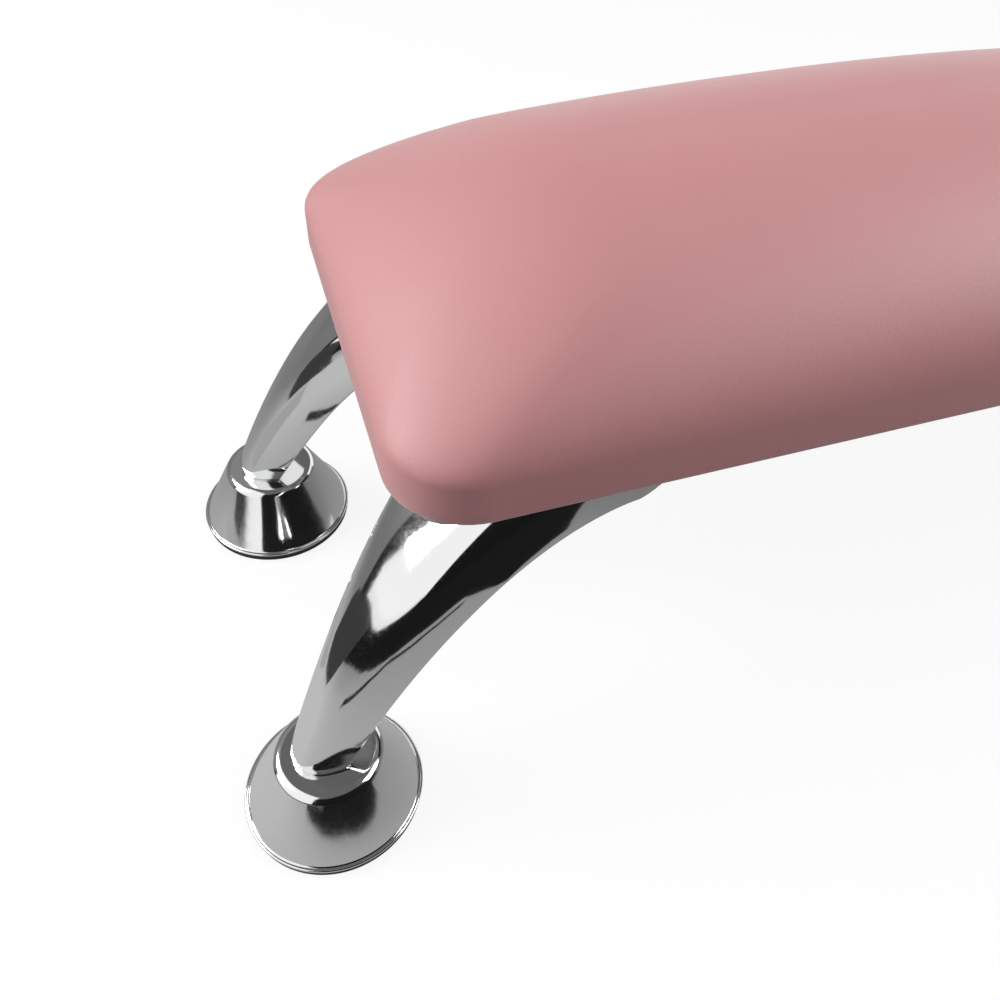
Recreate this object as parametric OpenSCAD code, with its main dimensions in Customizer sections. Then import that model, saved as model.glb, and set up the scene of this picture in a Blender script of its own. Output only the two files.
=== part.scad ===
// Manicure hand rest: a long domed cushion on four chromed horn legs with screw-on bell feet.
// Millimetres. The floor is z = 0. The cushion lies along X and the origin is under its centre.

/* [Cushion] */
// Length of the cushion
pad_length = 380; // [350:5:420]
// Width of the cushion
pad_width = 131.5; // [126:0.5:150]
// Height of the cushion's underside above the floor
underside_height = 114.3; // [108:0.1:126]
// Corner radius of the cushion seen from above
pad_corner_radius = 19.6; // [14:0.2:28]
// How much rounder the cushion's outline gets towards its top
corner_softening = 0.46; // [0.2:0.02:0.8]
// Height of the upright band round the cushion's edge
band_height = 12.8; // [12:0.2:18]
// Radius of the band's bottom edge
band_edge_radius = 3; // [2:0.5:3.5]
// Share of the half width over which the top rolls down to the band
roll_share = 0.88; // [0.6:0.01:0.88]
// Height of the roll above the band at the cushion's corners
roll_rise = 15; // [6:0.1:18]
// Extra height along the cushion's middle line
cross_crown = 7.7; // [4:0.1:12]
// Extra height of the cushion's middle over its ends
long_crown = 22.2; // [14:0.1:30]
// Share of that height made by the long arch, the rest by the roll at each end
arch_share = 0.73; // [0.4:0.01:0.9]
// Length of the roll at each end
end_roll_length = 52; // [30:1:70]
// Fullness of the end roll
end_roll_power = 1.4; // [1.1:0.1:2.4]
// Thickness of the cover
cover_thickness = 1.2; // [0.8:0.1:1.6]
// Width of cover turned in under the board
hem_width = 11; // [9.5:0.5:12]

/* [Board and plates] */
// Thickness of the base board
board_thickness = 9; // [8:0.5:9.5]
// Thickness of the lining under the board
lining_thickness = 0.8; // [0.4:0.1:1]
// Length of each leg plate
plate_length = 100; // [96:1:110]
// Thickness of each leg plate
plate_thickness = 3; // [2:0.5:4]
// Corner radius of each leg plate
plate_corner_radius = 8; // [4:1:12]
// Distance from the cushion's end to the leg plate
plate_end_inset = 6; // [5.5:0.5:8]
// Distance from the cushion's side to the leg plate
plate_side_inset = 6; // [5.5:0.5:8]
// Distance from a plate's ends to its two rows of screws
screw_edge_inset = 9; // [8.5:0.5:11]
// Distance from a plate's sides to the inner row's outer screws
screw_side_inset = 13.75; // [11:0.25:17]
// Distance between the two screws of the outer row
outer_screw_spacing = 28; // [22:1:32]
// Radius of the plate screws
screw_radius = 2.1; // [1.6:0.1:2.4]
// Depth to which the plate screws bite into the board
screw_bite = 6.2; // [4:0.1:7]
// Radius of a screw's head
screw_head_radius = 4; // [3.4:0.2:4.6]
// Height of a screw's head
screw_head_height = 2.2; // [1.6:0.2:3]

/* [Staples] */
// Length of a staple's crown
staple_length = 10; // [6:0.5:12]
// Thickness of the staple wire
staple_wire = 0.7; // [0.5:0.1:1]
// Depth of a staple's prongs above the hem's face
staple_depth = 6; // [4:0.5:8]
// Distance of the staple row from the board's edge
staple_edge_inset = 2.4; // [1.8:0.2:3]
// Staples along each long side
staples_along = 11; // [7:1:13]
// Staples along each end
staples_across = 4; // [3:1:5]

/* [Legs] */
// Distance the feet stand out beyond the cushion's ends
foot_overhang = 22.2; // [14:0.2:28]
// Distance of the feet's middles inside the cushion's sides
foot_side_inset = 9.3; // [6:0.1:12]
// Lean of the leg at the foot, in degrees from upright
foot_lean = 30; // [26:0.2:33]
// How late the leg bends over, 1 being an even bend
bend_power = 2.89; // [2.4:0.01:3.2]
// Angle by which the legs turn in towards each other
toe_angle = 18.5; // [12:0.5:19.5]
// Angle by which the leg's lower end is turned back out again
end_turn = 10; // [0:0.5:14]
// Depth of the leg from its flat underside to its back, at the foot
end_depth = 11.1; // [10:0.1:13]
// Depth of the leg at the top, most of it cut off by the plate
top_depth = 21.2; // [18:0.1:24]
// How late the leg deepens, 1 being an even taper
depth_power = 0.54; // [0.4:0.02:1.2]
// Half width of the leg at the foot
end_half_width = 8.3; // [7.4:0.1:9.2]
// Half width of the leg at the top
top_half_width = 26; // [22:0.1:28]
// How late the leg widens, 1 being an even taper
width_power = 1.33; // [1.1:0.01:1.8]
// Squareness of the leg's back at the foot, 2 being an ellipse
end_squareness = 2.3; // [1.8:0.1:4]
// Squareness of the leg's back at the top
top_squareness = 3.9; // [2:0.1:5]
// Length of the rounded tip that runs on under the plate
tip_length = 34; // [26:1:36]
// Height of the leg's underside below the plate at the top
top_drop = 11.6; // [8:0.1:13]
// Wall thickness of the leg
leg_wall = 1; // [0.8:0.1:1.6]
// Radius of the rounded edge at the leg's lower end
leg_edge_radius = 1; // [0.4:0.1:1.2]

/* [Feet] */
// Radius of the bell foot
bell_radius = 25; // [23:0.5:29]
// Height of the bell foot's top face above the floor
bell_height = 23.6; // [21:0.2:27]
// Radius of the bell foot at its shoulder
bell_top_radius = 15.4; // [14.8:0.1:18]
// Radius of the rounded edge of the bell foot's shoulder
bell_shoulder_radius = 3.2; // [2:0.1:4.5]
// Width of the flat lip round the bell foot's rim
lip_width = 1.1; // [0.9:0.1:3]
// Radius of the lip's rounded edge
lip_edge_radius = 0.5; // [0.3:0.1:0.9]
// Wall thickness of the bell foot
bell_wall = 1.8; // [1.4:0.1:2.2]
// Thickness of the bell foot's top
bell_top_thickness = 3; // [2.4:0.2:4]
// Radius of the levelling stem
stem_radius = 2; // [1.6:0.1:2.5]
// Length of the stem above the bell foot
stem_reach = 9; // [8:0.2:9.6]
// Height of the stem's hexagonal head
stem_head_height = 2.8; // [2.4:0.2:4.4]
// Distance across the corners of the stem's head, halved
stem_head_radius = 4; // [3.4:0.1:5.4]
// Length of the threaded plug in the leg's end
plug_length = 7; // [6:0.5:8]
// Distance of the plug above the leg's lower end
plug_inset = 1.5; // [1:0.1:2.5]
// Thickness of the rubber sole below the bell's rim
sole_thickness = 2.2; // [1.2:0.1:3]
// Distance of the sole's edge inside the rim
sole_edge_inset = 0.4; // [0.2:0.1:1.6]
// Depth of the sole's boss inside the bell's mouth
sole_boss_depth = 1.2; // [0.8:0.1:1.6]

/* [Fits] */
// Gap between touching soft and hard pieces
soft_gap = 0.3; // [0.2:0.05:0.5]
// Gap between the lining and the turned-in cover
lining_gap = 0.5; // [0.3:0.1:1]
// Clearance of a screw in its hole, all round and beyond its tip
screw_clearance = 0.05; // [0.03:0.01:0.1]
// Radial clearance of the stem in its plug, and of the sole in the bell
running_clearance = 0.05; // [0.02:0.01:0.1]
// Gap between the leg's end and the bell foot
seat_gap = 0.1; // [0.05:0.05:0.3]
// Gap between the plug and the leg's wall
plug_gap = 0.2; // [0.15:0.05:0.4]
// Gap between the stem and the leg's wall at the leg's lower end
stem_side_gap = 0.3; // [0.2:0.1:1.5]

/* [Hidden] */

left = -1;
right = 1;
front = -1;
rear = 1;

fine = 64;
small_round = 32;
hexagon = 6;
cut_margin = 1;

pink = [0.83, 0.64, 0.64];
foam_yellow = [0.93, 0.88, 0.72];
board_brown = [0.76, 0.62, 0.44];
lining_black = [0.09, 0.09, 0.1];
steel_grey = [0.66, 0.66, 0.68];
chrome_grey = [0.8, 0.81, 0.83];
rubber_black = [0.06, 0.06, 0.06];

half_length = pad_length / 2;
half_width = pad_width / 2;
roll_width = roll_share * half_width;
board_inset = cover_thickness + soft_gap;
board_bottom = underside_height + board_inset;
board_top = board_bottom + board_thickness;
plate_top = underside_height - soft_gap;
plate_bottom = plate_top - plate_thickness;
plate_width = pad_width - 2 * plate_side_inset;
plate_middle = half_length - plate_end_inset - plate_length / 2;
screw_tip = board_bottom + screw_bite;
head_taper_share = 0.75;

// Each ring of the cushion has the same points, so that neighbouring rings join up.
arc_steps = 6;
long_steps = 12;
short_steps = 4;
ring_points = 4 * (arc_steps + 1) + 2 * (long_steps - 1) + 2 * (short_steps - 1);
end_roundness = 0.85;
inner_edge_radius = 0.6;
ridge_half_width = 5;
outer_roll_angles = [90, 62, 44, 28, 14, 0];
outer_edge_angles = [0, 45, 90];
inner_edge_angles = [90, 45, 0];
inner_roll_angles = [0, 22, 42, 62, 90];
foam_roll_angles = [90, 62, 42, 22];

function edge_share(step, steps) = (1 - cos(180 * step / steps)) / 2;

function corner_sign(quarter) = [quarter == 0 || quarter == 3 ? 1 : -1, quarter < 2 ? 1 : -1];

function corner_centre(quarter, inset, radius) =
    let (sign = corner_sign(quarter % 4))
    [sign[0] * (half_length - inset - radius), sign[1] * (half_width - inset - radius)];

function turned(radius, angle) = radius * [cos(angle), sin(angle)];

// The outline rounds off further inwards, up to nearly half round ends.
function plan_radius(inset) =
    min(pad_corner_radius + corner_softening * inset, end_roundness * (half_width - inset));

function plan_ring(inset) =
    let (radius = plan_radius(inset))
    [for (quarter = [0:3])
        let (
            start = corner_centre(quarter, inset, radius),
            finish = corner_centre(quarter + 1, inset, radius),
            steps = quarter % 2 == 0 ? long_steps : short_steps,
            reach = turned(radius, 90 * (quarter + 1)))
        each concat(
            [for (step = [0:arc_steps]) start + turned(radius, 90 * (quarter + step / arc_steps))],
            [for (step = [1:steps - 1]) start + (finish - start) * edge_share(step, steps) + reach])];

// Height of the crown over the roll: the cross crown, the long arch and the roll at each end.
function crown(x, y) =
    let (
        along = min(abs(x) / half_length, 1),
        across = min(abs(y) / half_width, 1),
        end_distance = min((half_length - min(abs(x), half_length)) / end_roll_length, 1))
    cross_crown * (1 - across * across)
    + long_crown * arch_share * (1 - along * along)
    + long_crown * (1 - arch_share) * (1 - pow(1 - end_distance, end_roll_power));

function raised_ring(inset, base, lift) =
    [for (point = plan_ring(inset))
        [point[0], point[1], base + lift * (roll_rise + crown(point[0], point[1]))]];

function roll_ring(skin, angle) =
    raised_ring(skin + roll_width * (1 - cos(angle)), underside_height + band_height - skin, sin(angle));

function flat_ring(inset, height) = raised_ring(inset, height, 0);

ridge_inset = half_width - ridge_half_width;
ridge_reach = half_length - ridge_inset - plan_radius(ridge_inset);

function ridge_points(base, lift) =
    [for (step = [0:long_steps])
        let (x = ridge_reach * (1 - 2 * edge_share(step, long_steps)))
        [x, 0, base + lift * (roll_rise + crown(x, 0))]];

function flipped(faces) = [for (face = faces) [face[0], face[2], face[1]]];

function loft_faces(ring_count) =
    [for (ring = [0:ring_count - 2], step = [0:ring_points - 1])
        let (
            next = (step + 1) % ring_points,
            upper = ring * ring_points,
            lower = (ring + 1) * ring_points)
        each [[upper + step, lower + step, upper + next], [upper + next, lower + step, lower + next]]];

function cap_faces(ring_start, ridge_start) =
    let (
        rear_edge = arc_steps,
        left_end = arc_steps + long_steps,
        front_edge = 3 * arc_steps + long_steps + short_steps,
        right_end = front_edge + long_steps,
        right_steps = ring_points - right_end + arc_steps)
    concat(
        [for (step = [0:long_steps - 1])
            let (
                near = ridge_start + step,
                far = near + 1,
                rear_near = ring_start + rear_edge + step,
                front_near = ring_start + right_end - step)
            each [[rear_near, rear_near + 1, near], [near, rear_near + 1, far],
                [front_near, near, front_near - 1], [front_near - 1, near, far]]],
        [for (step = [left_end:front_edge - 1])
            [ring_start + step, ring_start + step + 1, ridge_start + long_steps]],
        [for (step = [0:right_steps - 1])
            [ring_start + (right_end + step) % ring_points,
                ring_start + (right_end + step + 1) % ring_points, ridge_start]]);

// A skin through a list of rings, closed at both ends over a ridge line.
module cushion_form(rings, first_ridge, last_ridge) {
    count = len(rings);
    points = concat([for (ring = rings) each ring], first_ridge, last_ridge);
    faces = concat(
        loft_faces(count),
        cap_faces(0, count * ring_points),
        flipped(cap_faces((count - 1) * ring_points, count * ring_points + long_steps + 1)));
    polyhedron(points = points, faces = flipped(faces), convexity = 6);
}

module cushion_cover() {
    outer_base = underside_height + band_height;
    inner_base = outer_base - cover_thickness;
    rings = concat(
        [raised_ring(ridge_inset, outer_base, 1)],
        [for (angle = outer_roll_angles) roll_ring(0, angle)],
        [for (angle = outer_edge_angles)
            flat_ring(band_edge_radius * (1 - cos(angle)),
                underside_height + band_edge_radius * (1 - sin(angle)))],
        [flat_ring(hem_width, underside_height),
            flat_ring(hem_width, underside_height + cover_thickness)],
        [for (angle = inner_edge_angles)
            flat_ring(cover_thickness + inner_edge_radius * (1 - cos(angle)),
                underside_height + cover_thickness + inner_edge_radius * (1 - sin(angle)))],
        [for (angle = inner_roll_angles) roll_ring(cover_thickness, angle)],
        [raised_ring(ridge_inset, inner_base, 1)]);
    color(pink) cushion_form(rings, ridge_points(outer_base, 1), ridge_points(inner_base, 1));
}

module foam_pad() {
    skin = board_inset;
    base = underside_height + band_height - skin;
    rings = concat(
        [raised_ring(ridge_inset, base, 1)],
        [for (angle = foam_roll_angles) roll_ring(skin, angle)],
        [flat_ring(skin, board_top)],
        [flat_ring(ridge_inset, board_top)]);
    color(foam_yellow) cushion_form(rings, ridge_points(base, 1), ridge_points(board_top, 0));
}

module rounded_plate(length, width, radius, height) {
    linear_extrude(height = height) {
        square([length - 2 * radius, width], center = true);
        square([length, width - 2 * radius], center = true);
        for (x = [-1, 1], y = [-1, 1])
            translate([x * (length / 2 - radius), y * (width / 2 - radius)])
                circle(r = radius, $fn = fine);
    }
}

module at_screws() {
    for (side = [left, right])
        at_plate_screws(side)
            children();
}

module at_plate_screws(side) {
    reach_x = plate_length / 2 - screw_edge_inset;
    reach_y = plate_width / 2 - screw_side_inset;
    for (place = [-1, 0, 1])
        translate([side * (plate_middle - reach_x), place * reach_y, 0])
            children();
    for (place = [-1, 1])
        translate([side * (plate_middle + reach_x), place * outer_screw_spacing / 2, 0])
            children();
}

module screw_hole(bottom, top) {
    translate([0, 0, bottom])
        cylinder(r = screw_radius + screw_clearance, h = top - bottom, $fn = small_round);
}

module base_board() {
    color(board_brown)
        difference() {
            translate([0, 0, board_bottom])
                rounded_plate(pad_length - 2 * board_inset, pad_width - 2 * board_inset,
                    plan_radius(board_inset), board_thickness);
            at_screws()
                screw_hole(board_bottom - cut_margin, screw_tip + screw_clearance);
        }
}

module bottom_lining() {
    inset = hem_width + lining_gap;
    color(lining_black)
        difference() {
            translate([0, 0, board_bottom - lining_thickness])
                rounded_plate(pad_length - 2 * inset, pad_width - 2 * inset,
                    plan_radius(inset), lining_thickness);
            at_screws()
                screw_hole(board_bottom - lining_thickness - cut_margin, board_bottom + cut_margin);
        }
}

module staple() {
    color(steel_grey)
        translate([0, 0, underside_height - staple_wire]) {
            translate([-staple_length / 2, -staple_wire / 2, 0])
                cube([staple_length, staple_wire, staple_wire]);
            for (end = [-1, 1])
                translate([end * (staple_length - staple_wire) / 2 - staple_wire / 2, -staple_wire / 2, 0])
                    cube([staple_wire, staple_wire, staple_depth + staple_wire]);
        }
}

module cover_staples() {
    row_x = half_length - board_inset - staple_edge_inset;
    row_y = half_width - board_inset - staple_edge_inset;
    along = half_length - pad_corner_radius - staple_length;
    across = half_width - pad_corner_radius - staple_length / 2;
    for (side = [-1, 1], step = [0:staples_along - 1])
        translate([along * (2 * step / (staples_along - 1) - 1), side * row_y, 0])
            staple();
    for (side = [-1, 1], step = [0:staples_across - 1])
        translate([side * row_x, across * (2 * step / (staples_across - 1) - 1), 0])
            rotate([0, 0, 90])
                staple();
}

module plate_screws() {
    color(steel_grey)
        at_screws() {
            translate([0, 0, plate_bottom])
                cylinder(r = screw_radius, h = screw_tip - plate_bottom, $fn = small_round);
            translate([0, 0, plate_bottom - screw_head_height])
                cylinder(r1 = screw_head_radius * head_taper_share, r2 = screw_head_radius,
                    h = screw_head_height, $fn = small_round);
        }
}

module leg_plate(side) {
    color(steel_grey)
        difference() {
            translate([side * plate_middle, 0, plate_bottom])
                rounded_plate(plate_length, plate_width, plate_corner_radius, plate_thickness);
            at_plate_screws(side)
                screw_hole(plate_bottom - cut_margin, plate_top + cut_margin);
        }
}

// The underside's middle line lies in an upright plane: out along u, up along z.
leg_steps = 16;
tip_steps = 5;
leg_sides = 16;
level_cut_share = 0.54;
last_tip_angle = 84;
end_edge_angles = [0, 45, 90];
leg_bottom = bell_height + seat_gap;
foot_end_offset = stem_radius + running_clearance + stem_side_gap + leg_wall / cos(foot_lean);

function lean_at(share) = foot_lean + (90 - foot_lean) * pow(share, bend_power);

function total(values, index = 0) =
    index == len(values) ? 0 : values[index] + total(values, index + 1);

middle_leans = [for (step = [0:leg_steps - 1]) lean_at((step + 1 / 2) / leg_steps)];
step_length = (plate_bottom - top_drop - leg_bottom) / total([for (lean = middle_leans) cos(lean)]);

leg_path = [for (step = 0, u = foot_end_offset, z = leg_bottom;
        step <= leg_steps;
        u = u + step_length * sin(lean_at((step + 1 / 2) / leg_steps)),
        z = z + step_length * cos(lean_at((step + 1 / 2) / leg_steps)),
        step = step + 1) [u, z]];

function tapered(first, last, share) = first + (last - first) * share;

function squared(value, squareness) = sign(value) * pow(abs(value), 2 / squareness);

// An arch over the flat underside. Near the foot, level falls from 1 to 0: the sections go from level
// to square to the path, and the turn back out fades.
function leg_section(place, lean, level, skin, depth, half_width, squareness, ceiling) =
    [for (side = [0:leg_sides])
        let (
            angle = 180 * side / leg_sides,
            slant = lean * level,
            turn = end_turn * level,
            rise = skin + (depth - 2 * skin) * squared(sin(angle), squareness),
            reach = rise / cos(slant),
            back = reach * cos(lean - slant),
            spread = (skin - half_width) * squared(cos(angle), squareness))
        [place[0] - back * cos(turn) + spread * sin(turn),
            spread * cos(turn) + back * sin(turn),
            min(place[1] + reach * sin(lean - slant), ceiling)]];

function leg_sections(skin, ceiling) =
    concat(
        [for (step = [0:leg_steps])
            let (
                share = step / leg_steps)
            leg_section(leg_path[step], lean_at(share), max(0, 1 - share / level_cut_share), skin,
                tapered(end_depth, top_depth, pow(share, depth_power)),
                tapered(end_half_width, top_half_width, pow(share, width_power)),
                tapered(end_squareness, top_squareness, share), ceiling)],
        [for (step = [1:tip_steps])
            let (angle = last_tip_angle * step / tip_steps)
            leg_section(leg_path[leg_steps] + [(tip_length - skin) * sin(angle), 0], 90, 0, skin, top_depth,
                skin + (top_half_width - skin) * cos(angle), top_squareness, ceiling)]);

// Level sections that round the edge of the leg's lower end.
function end_edge_sections() =
    [for (angle = end_edge_angles)
        leg_section(leg_path[0] + leg_edge_radius * (1 - cos(angle)) * [tan(foot_lean), 1],
            foot_lean, 1, leg_edge_radius * (1 - sin(angle)),
            end_depth, end_half_width, end_squareness, plate_bottom)];

function after_first(list) = [for (index = [1:len(list) - 1]) list[index]];

// The inside of the leg, carried on below its lower end.
function inner_sections(skin) =
    let (sections = leg_sections(skin, plate_bottom + cut_margin))
    concat([[for (point = sections[0]) point - cut_margin * [tan(foot_lean), 0, 1]]], sections);

module leg_form(sections) {
    count = len(sections);
    ring = leg_sides + 1;
    last = (count - 1) * ring;
    faces = concat(
        [[for (side = [ring - 1:-1:0]) side]],
        [[for (side = [0:ring - 1]) last + side]],
        [for (section = [0:count - 2], side = [0:ring - 1])
            let (
                next = (side + 1) % ring,
                low = section * ring,
                high = low + ring)
            each [[low + side, low + next, high + side], [low + next, high + next, high + side]]]);
    polyhedron(points = [for (section = sections) each section], faces = faces, convexity = 6);
}

// Children are drawn for the front left leg and mirrored to the other corners.
module at_foot(side, end) {
    mirror([side == right ? 1 : 0, 0, 0])
        mirror([0, end == rear ? 1 : 0, 0])
            translate([-half_length - foot_overhang, -half_width + foot_side_inset, 0])
                children();
}

module leg(side, end) {
    color(chrome_grey)
        at_foot(side, end)
            rotate([0, 0, toe_angle])
                difference() {
                    leg_form(concat(end_edge_sections(), after_first(leg_sections(0, plate_bottom))));
                    leg_form(inner_sections(leg_wall));
                }
}

module leg_plug(side, end) {
    color(steel_grey)
        at_foot(side, end)
            difference() {
                intersection() {
                    rotate([0, 0, toe_angle])
                        leg_form(inner_sections(leg_wall + plug_gap));
                    translate([0, 0, leg_bottom + plug_inset])
                        cylinder(r = bell_radius, h = plug_length, $fn = fine);
                }
                translate([0, 0, leg_bottom])
                    cylinder(r = stem_radius + running_clearance, h = stem_reach + cut_margin, $fn = fine);
            }
}

module foot_stem(side, end) {
    head_top = bell_height - bell_top_thickness;
    color(steel_grey)
        at_foot(side, end) {
            translate([0, 0, head_top - stem_head_height])
                cylinder(r = stem_head_radius, h = stem_head_height, $fn = hexagon);
            translate([0, 0, head_top])
                cylinder(r = stem_radius, h = bell_top_thickness + stem_reach, $fn = fine);
        }
}

cone_foot = bell_radius - lip_width;
bell_mouth = cone_foot - bell_wall;

module foot_bell(side, end) {
    lip_edge = bell_radius - lip_edge_radius;
    lip_bottom = sole_thickness + seat_gap;
    lip_top = lip_bottom + 2 * lip_edge_radius;
    shoulder = [bell_top_radius - bell_shoulder_radius, bell_height - bell_shoulder_radius];
    gap = shoulder - [cone_foot, lip_top];
    cone_slope = atan2(gap[1], gap[0]) - asin(bell_shoulder_radius / norm(gap)) - 90;
    cone_top = shoulder + turned(bell_shoulder_radius, cone_slope);
    head_top = bell_height - bell_top_thickness;
    color(chrome_grey)
        at_foot(side, end)
            rotate_extrude($fn = fine)
                difference() {
                    union() {
                        polygon([[0, lip_bottom], [lip_edge, lip_bottom], [lip_edge, lip_top],
                            [cone_foot, lip_top], cone_top, shoulder + turned(bell_shoulder_radius, 90),
                            [0, bell_height]]);
                        translate([lip_edge, lip_bottom + lip_edge_radius])
                            circle(r = lip_edge_radius, $fn = small_round);
                        translate(shoulder)
                            circle(r = bell_shoulder_radius, $fn = small_round);
                    }
                    polygon([[0, 0], [bell_mouth, 0], [bell_mouth, lip_top],
                        [cone_top[0] - bell_wall, head_top], [0, head_top]]);
                    translate([0, head_top - cut_margin])
                        square([stem_radius + running_clearance, bell_top_thickness + 2 * cut_margin]);
                }
}

module foot_sole(side, end) {
    color(rubber_black)
        at_foot(side, end) {
            cylinder(r = bell_radius - sole_edge_inset, h = sole_thickness, $fn = fine);
            cylinder(r = bell_mouth - running_clearance, h = sole_thickness + sole_boss_depth, $fn = fine);
        }
}

cushion_cover();
foam_pad();
base_board();
bottom_lining();
cover_staples();
plate_screws();
leg_plate(left);  // leg_plate_left
leg_plate(right);  // leg_plate_right
leg(left, front);  // leg_front_left
leg(right, front);  // leg_front_right
leg(left, rear);  // leg_rear_left
leg(right, rear);  // leg_rear_right
leg_plug(left, front);  // leg_plug_front_left
leg_plug(right, front);  // leg_plug_front_right
leg_plug(left, rear);  // leg_plug_rear_left
leg_plug(right, rear);  // leg_plug_rear_right
foot_stem(left, front);  // foot_stem_front_left
foot_stem(right, front);  // foot_stem_front_right
foot_stem(left, rear);  // foot_stem_rear_left
foot_stem(right, rear);  // foot_stem_rear_right
foot_bell(left, front);  // foot_bell_front_left
foot_bell(right, front);  // foot_bell_front_right
foot_bell(left, rear);  // foot_bell_rear_left
foot_bell(right, rear);  // foot_bell_rear_right
foot_sole(left, front);  // foot_sole_front_left
foot_sole(right, front);  // foot_sole_front_right
foot_sole(left, rear);  // foot_sole_rear_left
foot_sole(right, rear);  // foot_sole_rear_right
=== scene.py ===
import math

import bmesh
import bpy
from mathutils import Matrix, Vector


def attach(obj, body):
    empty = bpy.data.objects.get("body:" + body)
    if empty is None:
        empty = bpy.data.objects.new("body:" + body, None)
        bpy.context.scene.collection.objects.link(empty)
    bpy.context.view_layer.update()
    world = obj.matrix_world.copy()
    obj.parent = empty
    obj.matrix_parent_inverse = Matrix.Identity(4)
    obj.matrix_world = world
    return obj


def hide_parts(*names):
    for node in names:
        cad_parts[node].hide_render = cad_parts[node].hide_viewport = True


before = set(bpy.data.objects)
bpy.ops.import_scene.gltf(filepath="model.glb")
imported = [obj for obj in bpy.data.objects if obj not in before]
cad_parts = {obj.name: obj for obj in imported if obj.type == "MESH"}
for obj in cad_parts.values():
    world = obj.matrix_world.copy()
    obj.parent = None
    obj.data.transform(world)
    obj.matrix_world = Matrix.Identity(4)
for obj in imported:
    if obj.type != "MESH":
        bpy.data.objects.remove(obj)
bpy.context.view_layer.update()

MM = 0.001

# Sizes in millimetres

PAD_LENGTH = 380.0
PAD_WIDTH = 131.5
UNDERSIDE = 114.3
CORNER_RADIUS = 19.6
CORNER_SOFTENING = 0.46
END_ROUNDNESS = 0.85
BAND_HEIGHT = 12.8
BAND_EDGE_RADIUS = 3.0
ROLL_SHARE = 0.88
ROLL_RISE = 15.0
CROSS_CROWN = 7.7
LONG_CROWN = 22.2
ARCH_SHARE = 0.73
END_ROLL_LENGTH = 52.0
END_ROLL_POWER = 1.4
COVER_THICKNESS = 1.2
INNER_EDGE_RADIUS = 0.6
HEM_WIDTH = 11.0
BOARD_TOP = 124.8
SOFT_GAP = 0.3
PLATE_BOTTOM = 111.0

FOOT_OVERHANG = 22.2
FOOT_SIDE_INSET = 9.3
FOOT_LEAN = 30.0
BEND_POWER = 2.89
TOE_ANGLE = 18.5
END_TURN = 10.0
END_DEPTH = 11.1
TOP_DEPTH = 21.2
DEPTH_POWER = 0.54
END_HALF_WIDTH = 8.3
TOP_HALF_WIDTH = 26.0
WIDTH_POWER = 1.33
END_SQUARENESS = 2.3
TOP_SQUARENESS = 3.9
TIP_LENGTH = 34.0
TOP_DROP = 11.6
FOOT_END_OFFSET = 3.505
LEG_WALL = 1.0
LEG_EDGE_RADIUS = 1.0
SIDE_EDGE_RADIUS = 0.7
SIDE_EDGE_LIMIT_SHARE = 0.3
LEVEL_CUT_SHARE = 0.54
TIP_ANGLE = 86.0
WELD_DISTANCE = 0.002

BELL_RADIUS = 25.0
BELL_HEIGHT = 23.6
BELL_TOP_RADIUS = 15.4
BELL_SHOULDER_RADIUS = 3.2
LIP_WIDTH = 1.1
LIP_EDGE_RADIUS = 0.5
LIP_FILLET = 0.8
BELL_WALL = 1.8
BELL_TOP_THICKNESS = 3.0
STEM_BORE = 2.05
SOLE_THICKNESS = 2.2
SOLE_EDGE_INSET = 0.4
SOLE_BOSS_DEPTH = 1.2
SOLE_BOSS_GAP = 0.05
SOLE_ROUND_OFF = 0.4
SEAT_GAP = 0.1

HALF_LENGTH = PAD_LENGTH / 2
HALF_WIDTH = PAD_WIDTH / 2
ROLL_WIDTH = ROLL_SHARE * HALF_WIDTH
LEG_BOTTOM = BELL_HEIGHT + SEAT_GAP
BELL_MOUTH = BELL_RADIUS - LIP_WIDTH - BELL_WALL

CORNERS = {
    "front_left": (-1, -1),
    "front_right": (1, -1),
    "rear_left": (-1, 1),
    "rear_right": (1, 1),
}


def nodes_of(owner):
    owner.use_nodes = True
    tree = owner.node_tree
    tree.nodes.clear()
    return tree


def add(tree, kind, inputs=None, **settings):
    node = tree.nodes.new(kind)
    for key, value in settings.items():
        setattr(node, key, value)
    for key, value in (inputs or {}).items():
        if isinstance(value, bpy.types.NodeSocket):
            tree.links.new(value, node.inputs[key])
        else:
            node.inputs[key].default_value = value
    return node


def ramp(tree, factor, stops):
    node = add(tree, "ShaderNodeValToRGB", {0: factor})
    elements = node.color_ramp.elements
    while len(elements) < len(stops):
        elements.new(0.5)
    for element, (place, colour) in zip(elements, stops):
        element.position = place
        element.color = (*colour, 1)
    return node.outputs["Color"]


def mapped(tree, factor, low, high, start=0.0, end=1.0):
    node = add(tree, "ShaderNodeMapRange", {0: factor, 1: start, 2: end, 3: low, 4: high})
    return node.outputs[0]


def surface(name, shader_inputs, build):
    material = bpy.data.materials.new(name)
    tree = nodes_of(material)
    shader = add(tree, "ShaderNodeBsdfPrincipled", shader_inputs)
    add(tree, "ShaderNodeOutputMaterial", {"Surface": shader.outputs[0]})
    place = add(tree, "ShaderNodeTexCoord").outputs["Object"]
    build(tree, shader, place)
    return material


def noise(tree, place, scale, detail=4.0, roughness=0.5):
    node = add(tree, "ShaderNodeTexNoise",
               {"Vector": place, "Scale": scale, "Detail": detail, "Roughness": roughness})
    return node.outputs["Fac"]


def bump(tree, height, strength, distance, normal=None):
    inputs = {"Height": height, "Strength": strength, "Distance": distance}
    if normal is not None:
        inputs["Normal"] = normal
    return add(tree, "ShaderNodeBump", inputs).outputs[0]


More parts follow.
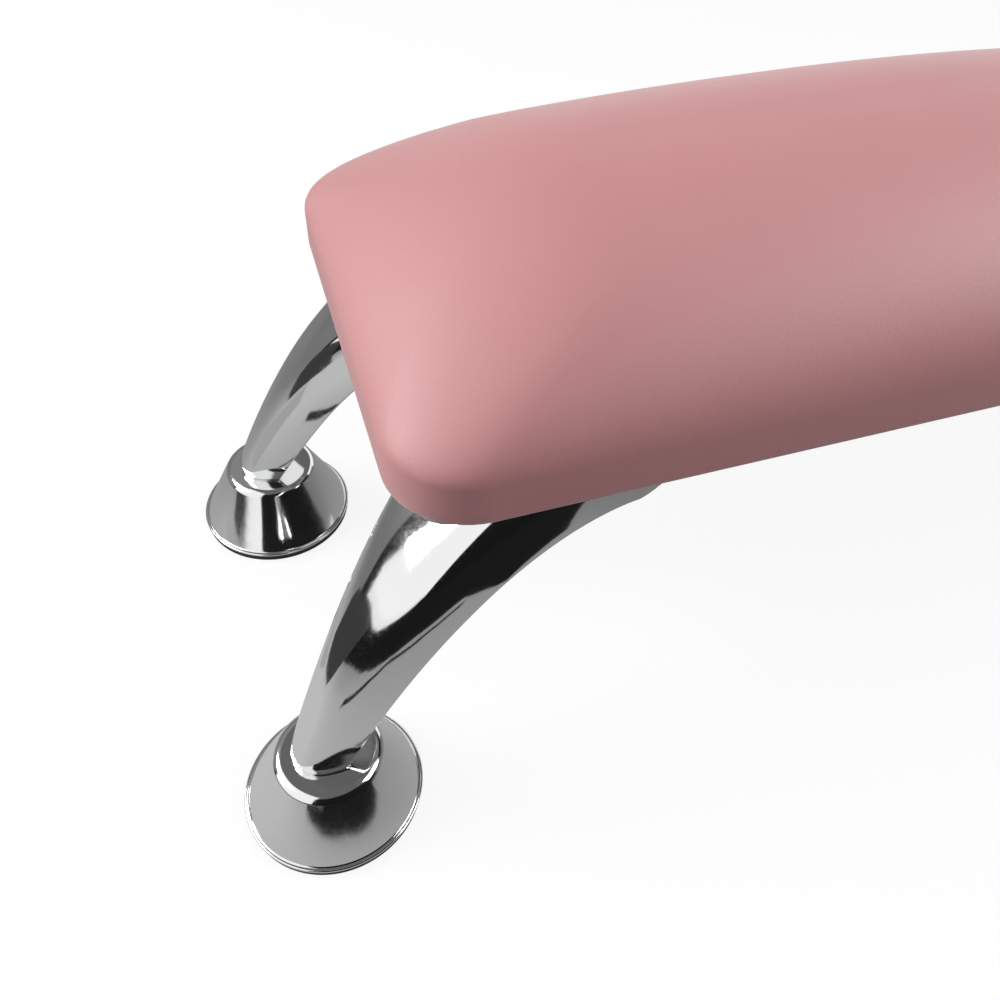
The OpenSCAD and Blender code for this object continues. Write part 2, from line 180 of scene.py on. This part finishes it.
def leatherette():
    def build(tree, shader, place):
        tone = noise(tree, place, 9.0, 3.0)
        colour = ramp(tree, tone, [(0.3, (0.53, 0.225, 0.229)), (0.7, (0.57, 0.248, 0.252))])
        grain = add(tree, "ShaderNodeTexVoronoi", {"Vector": place, "Scale": 1500.0},
                    feature="F1").outputs["Distance"]
        fine = noise(tree, place, 2600.0, 2.0)
        soft = noise(tree, place, 260.0, 3.0)
        normal = bump(tree, soft, 0.12, 0.0002)
        normal = bump(tree, grain, 0.25, 0.0001, normal)
        normal = bump(tree, fine, 0.2, 0.00006, normal)
        tree.links.new(colour, shader.inputs["Base Color"])
        tree.links.new(mapped(tree, grain, 0.5, 0.62), shader.inputs["Roughness"])
        tree.links.new(normal, shader.inputs["Normal"])
    return surface("pink_leatherette", {"Specular IOR Level": 0.9, "Sheen Weight": 0.35,
                                        "Sheen Roughness": 0.35}, build)


def chrome(name, smooth, rough):
    def build(tree, shader, place):
        cloud = noise(tree, place, 30.0, 3.0)
        ripple = noise(tree, place, 55.0, 2.0)
        specks = noise(tree, place, 900.0, 4.0, 0.7)
        colour = ramp(tree, cloud, [(0.35, (0.84, 0.845, 0.85)), (0.65, (0.89, 0.89, 0.893))])
        tree.links.new(colour, shader.inputs["Base Color"])
        tree.links.new(mapped(tree, specks, smooth, rough, 0.4, 0.8), shader.inputs["Roughness"])
        tree.links.new(bump(tree, ripple, 0.25, 0.0004), shader.inputs["Normal"])
    return surface(name, {"Metallic": 1.0}, build)


def plated_steel():
    def build(tree, shader, place):
        cloud = noise(tree, place, 60.0, 5.0, 0.65)
        streaks = noise(tree, place, 700.0, 3.0)
        colour = ramp(tree, cloud, [(0.3, (0.44, 0.44, 0.45)), (0.7, (0.6, 0.6, 0.61))])
        tree.links.new(colour, shader.inputs["Base Color"])
        tree.links.new(mapped(tree, cloud, 0.3, 0.48), shader.inputs["Roughness"])
        tree.links.new(bump(tree, streaks, 0.15, 0.0001), shader.inputs["Normal"])
    return surface("zinc_plated_steel", {"Metallic": 1.0}, build)


def black_rubber():
    def build(tree, shader, place):
        speckle = noise(tree, place, 800.0, 4.0, 0.6)
        colour = ramp(tree, speckle, [(0.3, (0.012, 0.012, 0.013)), (0.7, (0.03, 0.03, 0.031))])
        tree.links.new(colour, shader.inputs["Base Color"])
        tree.links.new(mapped(tree, speckle, 0.55, 0.75), shader.inputs["Roughness"])
        tree.links.new(bump(tree, speckle, 0.3, 0.0001), shader.inputs["Normal"])
    return surface("black_rubber", {"Specular IOR Level": 0.4}, build)


def plywood():
    def build(tree, shader, place):
        stretched = add(tree, "ShaderNodeMapping", {"Vector": place, "Scale": (6.0, 90.0, 400.0)})
        veins = noise(tree, stretched.outputs[0], 3.0, 6.0, 0.6)
        colour = ramp(tree, veins, [(0.3, (0.5, 0.34, 0.19)), (0.7, (0.68, 0.5, 0.31))])
        tree.links.new(colour, shader.inputs["Base Color"])
        tree.links.new(bump(tree, veins, 0.3, 0.0002), shader.inputs["Normal"])
    return surface("plywood", {"Roughness": 0.7}, build)


def lining_cloth():
    def build(tree, shader, place):
        fibres = noise(tree, place, 1200.0, 5.0, 0.7)
        colour = ramp(tree, fibres, [(0.3, (0.008, 0.008, 0.009)), (0.7, (0.03, 0.03, 0.033))])
        tree.links.new(colour, shader.inputs["Base Color"])
        tree.links.new(bump(tree, fibres, 0.5, 0.0002), shader.inputs["Normal"])
    return surface("black_lining", {"Roughness": 0.9}, build)


def foam():
    def build(tree, shader, place):
        cells = add(tree, "ShaderNodeTexVoronoi", {"Vector": place, "Scale": 900.0}).outputs[0]
        colour = ramp(tree, cells, [(0.0, (0.62, 0.55, 0.33)), (0.6, (0.86, 0.79, 0.56))])
        tree.links.new(colour, shader.inputs["Base Color"])
        tree.links.new(bump(tree, cells, 0.6, 0.0004), shader.inputs["Normal"])
    return surface("cut_foam", {"Roughness": 0.95}, build)


SMOOTH_ANGLE = 40


def finished(name, mesh_builder, material, body, replaced):
    """Turns a bmesh into a piece that rides on its body and stands for the named nodes."""
    mesh = bpy.data.meshes.new(name)
    bmesh.ops.recalc_face_normals(mesh_builder, faces=mesh_builder.faces)
    mesh_builder.to_mesh(mesh)
    mesh_builder.free()
    mesh.materials.append(material)
    mesh.shade_smooth()
    mesh.set_sharp_from_angle(angle=math.radians(SMOOTH_ANGLE))
    piece = bpy.data.objects.new(name, mesh)
    bpy.context.scene.collection.objects.link(piece)
    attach(piece, body)
    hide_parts(replaced)
    return piece


def add_ring(builder, points):
    return [builder.verts.new(Vector(point) * MM) for point in points]


def join_rings(builder, lower, upper):
    count = len(lower)
    for step in range(count):
        after = (step + 1) % count
        builder.faces.new((lower[step], lower[after], upper[after], upper[step]))


def join_sections(builder, sections):
    rings = [add_ring(builder, section) for section in sections]
    for lower, upper in zip(rings, rings[1:]):
        join_rings(builder, lower, upper)
    return rings


# The cushion

ARC_STEPS = 14
LONG_STEPS = 56
SHORT_STEPS = 18
RIDGE_WIDTHS = (5.0, 2.0)


def plan_radius(inset):
    return min(CORNER_RADIUS + CORNER_SOFTENING * inset, END_ROUNDNESS * (HALF_WIDTH - inset))


def plan_ring(inset):
    radius = plan_radius(inset)
    reach = (HALF_LENGTH - inset - radius, HALF_WIDTH - inset - radius)
    signs = [(1, 1), (-1, 1), (-1, -1), (1, -1)]
    ring = []
    for quarter, sign in enumerate(signs):
        start = (sign[0] * reach[0], sign[1] * reach[1])
        following = signs[(quarter + 1) % 4]
        finish = (following[0] * reach[0], following[1] * reach[1])
        for step in range(ARC_STEPS + 1):
            angle = math.pi / 2 * (quarter + step / ARC_STEPS)
            ring.append((start[0] + radius * math.cos(angle), start[1] + radius * math.sin(angle)))
        turn = math.pi / 2 * (quarter + 1)
        steps = LONG_STEPS if quarter % 2 == 0 else SHORT_STEPS
        for step in range(1, steps):
            share = (1 - math.cos(math.pi * step / steps)) / 2
            ring.append((start[0] + (finish[0] - start[0]) * share + radius * math.cos(turn),
                         start[1] + (finish[1] - start[1]) * share + radius * math.sin(turn)))
    return ring


def crown(x, y):
    along = min(abs(x) / HALF_LENGTH, 1)
    across = min(abs(y) / HALF_WIDTH, 1)
    end_distance = min((HALF_LENGTH - min(abs(x), HALF_LENGTH)) / END_ROLL_LENGTH, 1)
    return (CROSS_CROWN * (1 - across ** 2)
            + LONG_CROWN * ARCH_SHARE * (1 - along ** 2)
            + LONG_CROWN * (1 - ARCH_SHARE) * (1 - (1 - end_distance) ** END_ROLL_POWER))


def raised_ring(inset, base, lift):
    return [(x, y, base + lift * (ROLL_RISE + crown(x, y))) for x, y in plan_ring(inset)]


def cushion_rings(skin, bottom_rings, angles):
    """Rings from the given bottom ones over the rounded edge and up to the middle line."""
    base = UNDERSIDE + BAND_HEIGHT - skin
    rings = list(bottom_rings)
    for angle in angles:
        inset = skin + ROLL_WIDTH * (1 - math.cos(math.radians(angle)))
        rings.append(raised_ring(inset, base, math.sin(math.radians(angle))))
    for width in RIDGE_WIDTHS:
        rings.append(raised_ring(HALF_WIDTH - width, base, 1))
    return rings


def close_ridge(builder, ring, skin):
    """Closes the last, very slim ring with a row of points along the cushion's middle line."""
    base = UNDERSIDE + BAND_HEIGHT - skin
    inset = HALF_WIDTH - RIDGE_WIDTHS[-1]
    reach = HALF_LENGTH - inset - plan_radius(inset)
    ridge = []
    for step in range(LONG_STEPS + 1):
        x = reach * math.cos(math.pi * step / LONG_STEPS)
        ridge.append(builder.verts.new(Vector((x, 0, base + ROLL_RISE + crown(x, 0))) * MM))
    rear = ARC_STEPS
    left_end = rear + LONG_STEPS
    front = left_end + 2 * ARC_STEPS + SHORT_STEPS
    right_end = front + LONG_STEPS
    count = len(ring)
    for step in range(LONG_STEPS):
        builder.faces.new((ring[rear + step], ring[rear + step + 1], ridge[step + 1], ridge[step]))
        builder.faces.new((ring[right_end - step], ridge[step], ridge[step + 1],
                           ring[right_end - step - 1]))
    for step in range(left_end, front):
        builder.faces.new((ring[step], ring[step + 1], ridge[LONG_STEPS]))
    for step in range(right_end, count + rear):
        builder.faces.new((ring[step % count], ring[(step + 1) % count], ridge[0]))


def rounded_corner(inset, height, radius, angles):
    return [raised_ring(inset + radius * (1 - math.cos(math.radians(angle))),
                        height + radius * (1 - math.sin(math.radians(angle))), 0) for angle in angles]


def cushion_cover(material):
    builder = bmesh.new()
    outer = cushion_rings(
        0,
        [raised_ring(HEM_WIDTH, UNDERSIDE, 0)]
        + rounded_corner(0, UNDERSIDE, BAND_EDGE_RADIUS, (90, 72, 54, 36, 18, 0))
        + [raised_ring(0, UNDERSIDE + BAND_HEIGHT * share, 0) for share in (0.5, 0.8)],
        (0, 2, 5, 9, 14, 20, 26, 33, 40, 48, 56, 64, 73, 82, 90))
    inner = cushion_rings(
        COVER_THICKNESS,
        [raised_ring(HEM_WIDTH, UNDERSIDE + COVER_THICKNESS, 0)]
        + rounded_corner(COVER_THICKNESS, UNDERSIDE + COVER_THICKNESS, INNER_EDGE_RADIUS, (90, 45, 0)),
        (0, 9, 20, 33, 48, 64, 90))
    first = None
    for rings, skin in ((outer, 0), (inner, COVER_THICKNESS)):
        made = join_sections(builder, rings)
        close_ridge(builder, made[-1], skin)
        if first:
            join_rings(builder, made[0], first)
        first = made[0]
    piece = finished("cushion_cover_skin", builder, material, "rest", "cushion_cover")


def foam_pad(material):
    builder = bmesh.new()
    skin = COVER_THICKNESS + SOFT_GAP
    rings = cushion_rings(skin, [raised_ring(skin, BOARD_TOP, 0)], (9, 20, 33, 48, 64, 90))
    made = join_sections(builder, rings)
    close_ridge(builder, made[-1], skin)
    builder.faces.new(made[0])
    piece = finished("foam_pad_block", builder, material, "rest", "foam_pad")


# The legs

PATH_STEPS = 96
TIP_STEPS = 20
EDGE_STEPS = 5
ARCH_STEPS = 30
END_EDGE_STEPS = 6


def lean_at(share):
    return math.radians(FOOT_LEAN + (90 - FOOT_LEAN) * share ** BEND_POWER)


def leg_path():
    """The middle line of the underside: out along u, up along z."""
    leans = [lean_at((step + 0.5) / PATH_STEPS) for step in range(PATH_STEPS)]
    length = (PLATE_BOTTOM - TOP_DROP - LEG_BOTTOM) / sum(math.cos(lean) for lean in leans)
    path = [(FOOT_END_OFFSET, LEG_BOTTOM)]
    for lean in leans:
        u, z = path[-1]
        path.append((u + length * math.sin(lean), z + length * math.cos(lean)))
    return path


def tapered(first, last, share):
    return first + (last - first) * share


def arch_half(depth, half_width, squareness):
    """Half a section as (spread, rise): a small edge at the flat underside, then the arch to its top."""
    edge = min(SIDE_EDGE_RADIUS, SIDE_EDGE_LIMIT_SHARE * depth, SIDE_EDGE_LIMIT_SHARE * half_width)
    start = math.asin((edge / depth) ** (squareness / 2))
    side = half_width * math.cos(start) ** (2 / squareness)
    half = []
    for step in range(EDGE_STEPS):
        angle = math.pi / 2 * step / EDGE_STEPS
        half.append((side - edge + edge * math.sin(angle), edge - edge * math.cos(angle)))
    for step in range(ARCH_STEPS):
        angle = start + (math.pi / 2 - start) * step / ARCH_STEPS
        half.append((half_width * math.cos(angle) ** (2 / squareness),
                     depth * math.sin(angle) ** (2 / squareness)))
    return half


def leg_section(place, lean, level, skin, depth, half_width, squareness):
    """One section: square to the path at level 0, level and turned back out at level 1."""
    slant = lean * level
    turn = math.radians(END_TURN) * level
    half = arch_half(depth - 2 * skin, half_width - skin, squareness)
    outline = half + [(0, depth - 2 * skin)] + [(-spread, rise) for spread, rise in reversed(half)]
    ring = []
    for spread, rise in outline:
        reach = (skin + rise) / math.cos(slant)
        back = reach * math.cos(lean - slant)
        ring.append((place[0] - back * math.cos(turn) + spread * math.sin(turn),
                     spread * math.cos(turn) + back * math.sin(turn),
                     place[1] + reach * math.sin(lean - slant)))
    return ring


def leg_sections(skin):
    path = leg_path()
    sections = []
    for step in range(PATH_STEPS + 1):
        share = step / PATH_STEPS
        level = max(0.0, 1 - share / LEVEL_CUT_SHARE)
        sections.append(leg_section(path[step], lean_at(share), level, skin,
                                    tapered(END_DEPTH, TOP_DEPTH, share ** DEPTH_POWER),
                                    tapered(END_HALF_WIDTH, TOP_HALF_WIDTH, share ** WIDTH_POWER),
                                    tapered(END_SQUARENESS, TOP_SQUARENESS, share)))
    u, z = path[-1]
    for step in range(1, TIP_STEPS + 1):
        angle = math.radians(TIP_ANGLE) * step / TIP_STEPS
        wide = skin + (TOP_HALF_WIDTH - skin) * math.cos(angle)
        sections.append(leg_section((u + (TIP_LENGTH - skin) * math.sin(angle), z), math.pi / 2, 0, skin,
                                    TOP_DEPTH, wide, TOP_SQUARENESS))
    return sections


def end_edge_sections():
    """Level sections that round the edge of the leg's lower end."""
    u, z = leg_path()[0]
    lean = math.radians(FOOT_LEAN)
    sections = []
    for step in range(END_EDGE_STEPS + 1):
        angle = math.pi / 2 * step / END_EDGE_STEPS
        height = LEG_EDGE_RADIUS * (1 - math.cos(angle))
        sections.append(leg_section((u + height * math.tan(lean), z + height), lean, 1,
                                    LEG_EDGE_RADIUS * (1 - math.sin(angle)),
                                    END_DEPTH, END_HALF_WIDTH, END_SQUARENESS))
    return sections


def to_corner(builder, corner):
    """Moves a piece made at the origin to the foot of the given corner, mirrored as the leg there is."""
    side, end = CORNERS[corner]
    place = (Matrix.Diagonal((-side, -end, 1, 1))
             @ Matrix.Translation(Vector((-HALF_LENGTH - FOOT_OVERHANG,
                                          -HALF_WIDTH + FOOT_SIDE_INSET, 0)) * MM))
    builder.transform(place)


def leg(corner, material):
    builder = bmesh.new()
    ends = []
    for sections in (end_edge_sections() + leg_sections(0)[2:], leg_sections(LEG_WALL)):
        made = join_sections(builder, sections)
        builder.faces.new(made[-1])
        ends.append(made[0])
    join_rings(builder, ends[0], ends[1])
    bmesh.ops.recalc_face_normals(builder, faces=builder.faces)
    cut = bmesh.ops.bisect_plane(
        builder, geom=builder.verts[:] + builder.edges[:] + builder.faces[:], dist=1e-7,
        plane_co=(0, 0, PLATE_BOTTOM * MM), plane_no=(0, 0, 1), clear_outer=True)
    rim = [item for item in cut["geom_cut"] if isinstance(item, bmesh.types.BMEdge)]
    bmesh.ops.triangle_fill(builder, edges=rim, use_beauty=True)
    bmesh.ops.remove_doubles(builder, verts=builder.verts[:], dist=WELD_DISTANCE * MM)
    builder.transform(Matrix.Rotation(math.radians(TOE_ANGLE), 4, "Z"))
    to_corner(builder, corner)
    finished("horn_leg_" + corner, builder, material, "rest", "leg_" + corner)


# The feet

LATHE_SIDES = 128


def arc(centre, radius, start, end, steps):
    return [(centre[0] + radius * math.cos(math.radians(start + (end - start) * step / steps)),
             centre[1] + radius * math.sin(math.radians(start + (end - start) * step / steps)))
            for step in range(steps + 1)]


def lathe(builder, outline):
    """Spins a closed outline of (radius, height) points round the upright axis."""
    rings = []
    for radius, height in outline:
        if radius == 0:
            rings.append([builder.verts.new((0, 0, height * MM))])
        else:
            rings.append(add_ring(builder, [
                (radius * math.cos(2 * math.pi * side / LATHE_SIDES),
                 radius * math.sin(2 * math.pi * side / LATHE_SIDES), height)
                for side in range(LATHE_SIDES)]))
    for lower, upper in zip(rings, rings[1:] + rings[:1]):
        if len(lower) == 1 and len(upper) == 1:
            continue
        for side in range(LATHE_SIDES):
            after = (side + 1) % LATHE_SIDES
            if len(lower) == 1:
                builder.faces.new((lower[0], upper[after], upper[side]))
            elif len(upper) == 1:
                builder.faces.new((lower[side], lower[after], upper[0]))
            else:
                builder.faces.new((lower[side], lower[after], upper[after], upper[side]))


def bell(corner, material):
    lip_edge = BELL_RADIUS - LIP_EDGE_RADIUS
    lip_bottom = SOLE_THICKNESS + SEAT_GAP
    lip_top = lip_bottom + 2 * LIP_EDGE_RADIUS
    cone_foot = BELL_RADIUS - LIP_WIDTH
    head_top = BELL_HEIGHT - BELL_TOP_THICKNESS
    shoulder = (BELL_TOP_RADIUS - BELL_SHOULDER_RADIUS, BELL_HEIGHT - BELL_SHOULDER_RADIUS)
    gap = (shoulder[0] - cone_foot, shoulder[1] - lip_top)
    slope = math.atan2(gap[1], gap[0]) - math.asin(BELL_SHOULDER_RADIUS / math.hypot(*gap)) - math.pi / 2
    cone_top = shoulder[0] + BELL_SHOULDER_RADIUS * math.cos(slope)
    fillet = (cone_foot + LIP_FILLET * (1 - math.sin(slope)) / math.cos(slope), lip_top + LIP_FILLET)
    outline = (arc((lip_edge, lip_bottom + LIP_EDGE_RADIUS), LIP_EDGE_RADIUS, -90, 90, 12)
               + arc(fillet, LIP_FILLET, -90, math.degrees(slope) - 180, 6)
               + arc(shoulder, BELL_SHOULDER_RADIUS, math.degrees(slope), 90, 16)
               + [(STEM_BORE, BELL_HEIGHT), (STEM_BORE, head_top), (cone_top - BELL_WALL, head_top),
                  (BELL_MOUTH, lip_top), (BELL_MOUTH, lip_bottom)])
    builder = bmesh.new()
    lathe(builder, outline)
    to_corner(builder, corner)
    finished("bell_foot_" + corner, builder, material, "foot_" + corner, "foot_bell_" + corner)


def sole(corner, material):
    edge = BELL_RADIUS - SOLE_EDGE_INSET
    boss = BELL_MOUTH - SOLE_BOSS_GAP
    edge_centre = edge - SOLE_ROUND_OFF
    outline = ([(0, 0)]
               + arc((edge_centre, SOLE_ROUND_OFF), SOLE_ROUND_OFF, -90, 0, 5)
               + arc((edge_centre, SOLE_THICKNESS - SOLE_ROUND_OFF), SOLE_ROUND_OFF, 0, 90, 5)
               + [(boss, SOLE_THICKNESS), (boss, SOLE_THICKNESS + SOLE_BOSS_DEPTH),
                  (0, SOLE_THICKNESS + SOLE_BOSS_DEPTH)])
    builder = bmesh.new()
    lathe(builder, outline)
    to_corner(builder, corner)
    finished("rubber_sole_" + corner, builder, material, "sole_" + corner, "foot_sole_" + corner)


def dress(node, material):
    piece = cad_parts[node]
    piece.data.materials.clear()
    piece.data.materials.append(material)


# The camera

CAMERA_PLACE = Vector((-211.81, -191.07, 273.67)) * MM
CAMERA_YAW = math.radians(26.09)
CAMERA_PITCH = math.radians(-43.85)
CAMERA_ROLL = math.radians(7.22)
FOCAL_SHARE = 0.94775
AXIS_X_SHARE = 0.58749
AXIS_Y_SHARE = 0.42738
SENSOR = 36.0


def camera():
    data = bpy.data.cameras.new("camera")
    data.sensor_width = SENSOR
    data.lens = FOCAL_SHARE * SENSOR
    data.shift_x = 0.5 - AXIS_X_SHARE
    data.shift_y = AXIS_Y_SHARE - 0.5
    data.clip_start = 0.01
    forward = Vector((math.sin(CAMERA_YAW) * math.cos(CAMERA_PITCH),
                      math.cos(CAMERA_YAW) * math.cos(CAMERA_PITCH), math.sin(CAMERA_PITCH)))
    level = Vector((math.cos(CAMERA_YAW), -math.sin(CAMERA_YAW), 0))
    upright = level.cross(forward)
    right = level * math.cos(CAMERA_ROLL) + upright * math.sin(CAMERA_ROLL)
    up = upright * math.cos(CAMERA_ROLL) - level * math.sin(CAMERA_ROLL)
    turn = Matrix((right, up, -forward)).transposed().to_4x4()
    holder = bpy.data.objects.new("camera", data)
    bpy.context.scene.collection.objects.link(holder)
    holder.matrix_world = Matrix.Translation(CAMERA_PLACE) @ turn
    bpy.context.scene.camera = holder


def softbox(name, place, aim, size, power):
    data = bpy.data.lights.new(name, "AREA")
    data.shape = "RECTANGLE"
    data.size, data.size_y = size
    data.energy = power
    lamp = bpy.data.objects.new(name, data)
    bpy.context.scene.collection.objects.link(lamp)
    lamp.location = place
    lamp.rotation_euler = (Vector(aim) - Vector(place)).to_track_quat("-Z", "Y").to_euler()


def seen_directly(tree, rays):
    """One for what the camera sees directly, in a mirror or through glass."""
    either = add(tree, "ShaderNodeMath", {0: rays.outputs["Is Camera Ray"], 1: rays.outputs["Is Glossy Ray"]},
                 operation="MAXIMUM")
    every = add(tree, "ShaderNodeMath", {0: either.outputs[0], 1: rays.outputs["Is Transmission Ray"]},
                operation="MAXIMUM")
    return every.outputs[0]


# The studio's places are in metres.

FLOOR_RADIUS = 3.0
FLOOR_LAYERS = {"low": 0.0002, "middle": 0.0004, "top": 0.0006}
BLACK = 0.01


def painted_reflection_card(name, points, shade):
    """A flat card that glows with the given shade and only shows in reflections: a painted reflection that
    gives no diffuse light and casts no shadow.
    """
    material = bpy.data.materials.new(name)
    tree = nodes_of(material)
    place = add(tree, "ShaderNodeTexCoord").outputs["Object"]
    glow = add(tree, "ShaderNodeEmission", {"Color": shade(tree, place), "Strength": 1.0})
    add(tree, "ShaderNodeOutputMaterial", {"Surface": glow.outputs[0]})
    builder = bmesh.new()
    builder.faces.new([builder.verts.new(point) for point in points])
    mesh = bpy.data.meshes.new(name)
    builder.to_mesh(mesh)
    builder.free()
    mesh.materials.append(material)
    piece = bpy.data.objects.new(name, mesh)
    bpy.context.scene.collection.objects.link(piece)
    for kind in ("camera", "diffuse", "transmission", "volume_scatter", "shadow"):
        setattr(piece, "visible_" + kind, False)


# A painted reflection shade: one grey level, varied a little at random.
def plain(level):
    def shade(tree, place):
        return ramp(tree, noise(tree, place, 3.0), [(0.2, (level * 0.9,) * 3), (0.8, (level * 1.1,) * 3)])
    return shade


def spot(centre, levels):
    """Painted reflection shade in grey levels by the distance from a centre, as (distance, level)."""
    def shade(tree, place):
        away = add(tree, "ShaderNodeVectorMath", {0: place, 1: (*centre, 0)}, operation="DISTANCE")
        return ramp(tree, away.outputs["Value"], [(distance, (level,) * 3) for distance, level in levels])
    return shade


# A painted reflection lying flat just above the floor, on one of the layers.
def floor_card(name, outline, layer, shade):
    painted_reflection_card(name, [(*point, FLOOR_LAYERS[layer]) for point in outline], shade)


# An upright painted reflection between two floor points, of one grey level.
def upright_painted_reflection(name, start, end, bottom, top, level):
    painted_reflection_card(name, [(*start, bottom), (*end, bottom), (*end, top), (*start, top)], plain(level))


# Glowing cards seen only in reflections: painted reflections on the chrome legs and feet and in the
# leatherette's gloss. The black ones paint dark reflections. The grey and white ones paint lighter ones. The
# grey floor card is painted lighter round a point left of the left feet.
def studio_cards():
    grey = [(-0.5, -0.35), (1.0, -0.35), (1.0, 0.9), (-1.0, 0.9), (-1.0, 0.15), (-0.5, 0.06)]
    floor_card("grey_floor_card", grey, "low",
               spot((-0.28, -0.03), [(0.04, 0.55), (0.12, 0.34), (0.22, 0.22), (0.6, 0.17)]))
    front = [(-1.1, -3.0), (3.0, -3.0), (3.0, -0.3), (0.5, -0.25), (-0.06, -0.19), (-0.1, -0.1),
             (-0.13, -0.075), (-0.15, -0.12), (-0.2, -0.145), (-0.3, -0.165), (-0.38, -0.155),
             (-0.44, -0.12), (-0.45, -0.07), (-0.42, -0.02), (-0.36, 0.0), (-1.1, 0.0)]
    floor_card("black_floor_card_front", front, "middle", plain(BLACK))
    wedge = [(-0.33, -0.02), (-0.33, 0.03), (-0.45, 0.09), (-0.6, 0.14), (-1.1, 0.2), (-1.1, -0.02)]
    floor_card("dark_floor_card_left", wedge, "top", plain(0.045))
    upright_painted_reflection("low_black_card_left", (-0.275, -0.12), (-0.212, -0.134), 0, 0.007, BLACK)
    upright_painted_reflection("low_black_card_right", (-0.212, -0.134), (-0.15, -0.105), 0, 0.007, BLACK)
    upright_painted_reflection("low_black_card_between", (-0.228, 0.012), (-0.175, 0.012), 0, 0.01, BLACK)
    left_patch = [(-0.32, 0.0), (-0.27, 0.005), (-0.25, 0.04), (-0.3, 0.06)]
    floor_card("light_floor_card_left", left_patch, "top", plain(0.4))
    right_patch = [(-0.165, 0.0), (-0.135, 0.0), (-0.14, 0.035), (-0.16, 0.03)]
    floor_card("white_floor_card_right", right_patch, "top", plain(0.9))
    overhead = [(-0.5, -0.6), (0.8, -0.6), (0.8, 1.4), (-0.45, 1.4)]
    painted_reflection_card("dark_card_overhead", [(*point, 0.82) for point in overhead], plain(0.13))
    upright_painted_reflection("black_card_front", (-0.66, -0.6), (1.6, -0.6), 0, 1.3, 0.008)
    upright_painted_reflection("black_strip", (-0.765, 0.115), (-0.79, 0.18), 0, 0.5, 0.02)
    upright_painted_reflection("grey_card_behind", (-0.79, 0.18), (-0.2, 0.7), 0, 0.33, 0.19)
    upright_painted_reflection("grey_card_high", (-0.6, 0.36), (-0.2, 0.71), 0.33, 1.0, 0.25)
    upright_painted_reflection("grey_card_right", (1.2, -0.6), (1.2, 0.7), 0, 0.5, 0.17)


def room_light():
    """A grey room for light, white where it is seen."""
    world = bpy.data.worlds.new("studio")
    bpy.context.scene.world = world
    tree = nodes_of(world)
    rays = add(tree, "ShaderNodeLightPath")
    place = add(tree, "ShaderNodeTexCoord").outputs["Generated"]
    parts = add(tree, "ShaderNodeSeparateXYZ", {0: place})
    room = ramp(tree, mapped(tree, parts.outputs["Z"], 0.0, 1.0, -1.0, 1.0),
                [(0.3, (0.21, 0.21, 0.214)), (0.8, (0.33, 0.33, 0.335))])
    around = add(tree, "ShaderNodeBackground", {"Color": room, "Strength": 1.0})
    white = add(tree, "ShaderNodeBackground", {"Color": (1, 1, 1, 1), "Strength": 1.0})
    choice = add(tree, "ShaderNodeMixShader", {0: seen_directly(tree, rays),
                                               1: around.outputs[0], 2: white.outputs[0]})
    add(tree, "ShaderNodeOutputWorld", {"Surface": choice.outputs[0]})


def floor():
    """A floor that is grey for light, and white with the object's shadow where it is seen."""
    floor_material = bpy.data.materials.new("studio_floor")
    tree = nodes_of(floor_material)
    rays = add(tree, "ShaderNodeLightPath")
    shaded = add(tree, "ShaderNodeBsdfDiffuse", {"Color": (1, 1, 1, 1)})
    glow = add(tree, "ShaderNodeEmission", {"Color": (1, 1, 1, 1), "Strength": 1.0})
    seen = add(tree, "ShaderNodeMixShader", {0: 0.12, 1: glow.outputs[0], 2: shaded.outputs[0]})
    grey = add(tree, "ShaderNodeBsdfDiffuse", {"Color": (0.3, 0.3, 0.3, 1)})
    choice = add(tree, "ShaderNodeMixShader", {0: seen_directly(tree, rays),
                                               1: grey.outputs[0], 2: seen.outputs[0]})
    add(tree, "ShaderNodeOutputMaterial", {"Surface": choice.outputs[0]})
    builder = bmesh.new()
    bmesh.ops.create_circle(builder, cap_ends=True, segments=64, radius=FLOOR_RADIUS)
    mesh = bpy.data.meshes.new("studio_floor")
    builder.to_mesh(mesh)
    builder.free()
    mesh.materials.append(floor_material)
    disc = bpy.data.objects.new("studio_floor", mesh)
    bpy.context.scene.collection.objects.link(disc)


def studio():
    room_light()
    floor()
    softbox("left_light", (-0.9, 0.25, 0.55), (-0.15, 0, 0.1), (0.6, 0.6), 8.6)
    softbox("back_light", (0.15, 0.4, 1.05), (0, 0, 0.1), (0.9, 0.6), 0.9)
    softbox("right_light", (0.52, -0.28, 0.6), (0.1, 0, 0.12), (0.5, 0.5), 4.0)
    studio_cards()
    bpy.context.scene.view_settings.view_transform = "Standard"


pink = leatherette()
plating = chrome("leg_chrome", 0.06, 0.12)
soft_plating = chrome("foot_chrome", 0.09, 0.14)
steel = plated_steel()
rubber = black_rubber()

camera()
studio()

cushion_cover(pink)
foam_pad(foam())
dress("base_board", plywood())
dress("bottom_lining", lining_cloth())
for node in ("cover_staples", "plate_screws", "leg_plate_left", "leg_plate_right"):
    dress(node, steel)
for corner in CORNERS:
    leg(corner, plating)
    bell(corner, soft_plating)
    sole(corner, rubber)
    dress("leg_plug_" + corner, steel)
    dress("foot_stem_" + corner, steel)
